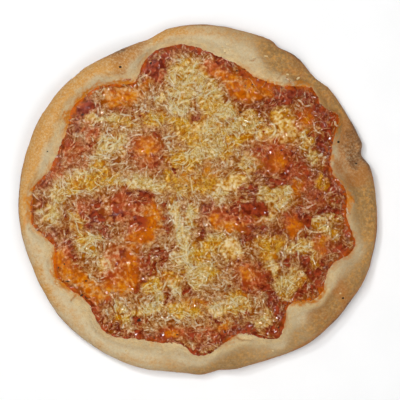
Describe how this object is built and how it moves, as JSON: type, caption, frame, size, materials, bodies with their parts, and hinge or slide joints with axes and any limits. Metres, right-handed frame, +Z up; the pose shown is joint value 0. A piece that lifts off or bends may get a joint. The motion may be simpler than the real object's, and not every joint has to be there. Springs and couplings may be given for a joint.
{
  "type": "margherita pizza",
  "caption": "Round baked pizza with a puffed crust rim, a thin layer of tomato sauce and a half melted blanket of grated cheese.",
  "frame": {"origin": "middle of the pizza seen from above, on the surface it rests on", "axes": "+Z up through the topping; +X and +Y lie in the resting face, with +X along the slightly longer way across"},
  "size_m": [0.3006, 0.2923, 0.0207],
  "materials": {
    "crust": "baked dough, floury and matte, pale cream to toasted brown",
    "sauce": "cooked tomato sauce, wet and oily",
    "cheese": "grated cheese, half melted, with a little oil on it"
  },
  "bodies": {
    "root": {"crust": "crust", "sauce": "sauce", "cheese": "cheese"}
  },
  "joints": []
}
